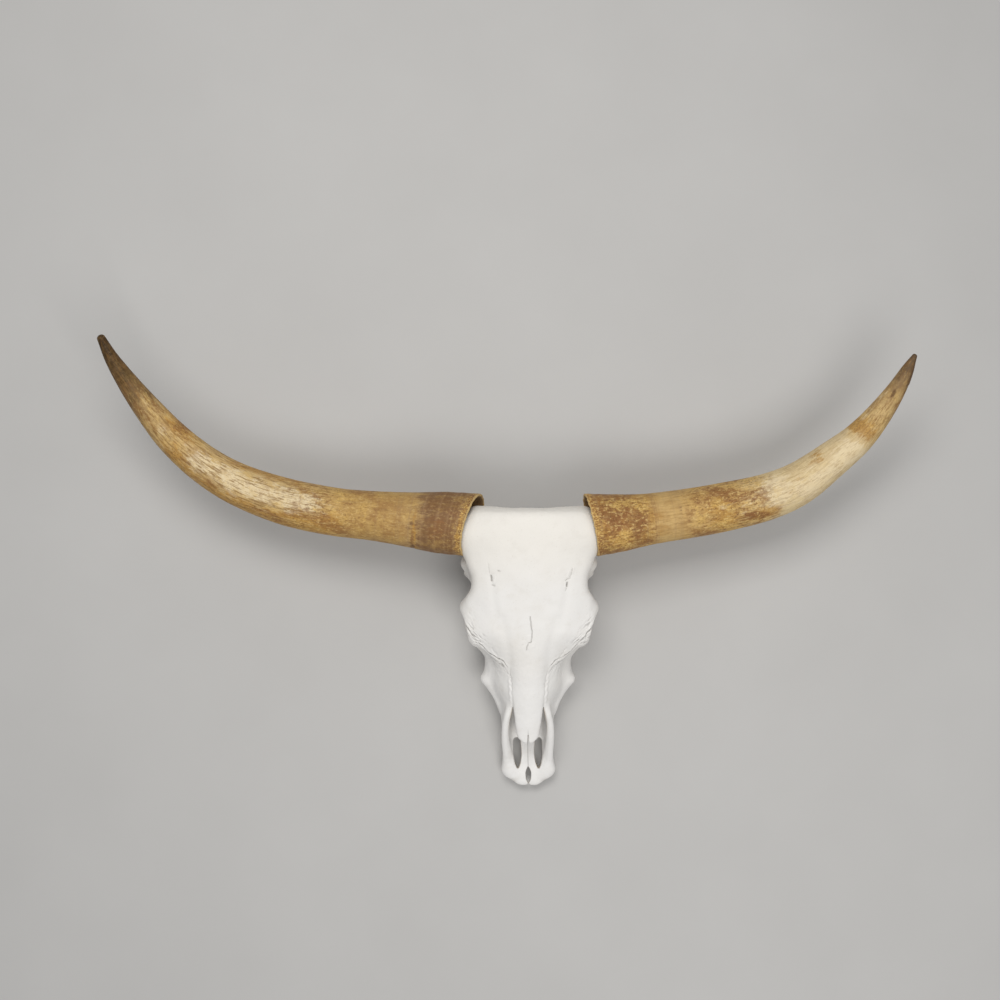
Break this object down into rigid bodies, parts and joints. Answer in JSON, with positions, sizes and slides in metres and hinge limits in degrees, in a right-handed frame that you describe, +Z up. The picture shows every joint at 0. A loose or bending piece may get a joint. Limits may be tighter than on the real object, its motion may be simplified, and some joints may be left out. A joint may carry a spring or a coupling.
{
  "type": "longhorn steer skull",
  "caption": "Bleached steer skull without its lower jaw, with long curved horn sheaths, resting face up on its cheek teeth.",
  "frame": {"origin": "middle of the whole skull and horns seen from above, at the level it rests on", "axes": "+X towards the horn on the right as the face is seen from above with the nose at the bottom (the animal's own left; node names use the side as seen), +Y from the nose towards the poll, +Z up out of the face"},
  "size_m": [1.4663, 0.8439, 0.2278],
  "materials": {
    "bone": "dry bleached bone, warm white, matt with a faint sheen on the teeth",
    "horn": "natural horn, mottled brown at the rim, cream and ochre along the middle, dark at the tip, satin"
  },
  "bodies": {
    "root": {"cranium": "bone", "maxillae": "bone", "nasal_left": "bone", "nasal_right": "bone", "incisive_left": "bone", "incisive_right": "bone", "horn_left": "horn", "horn_right": "horn"}
  },
  "joints": []
}
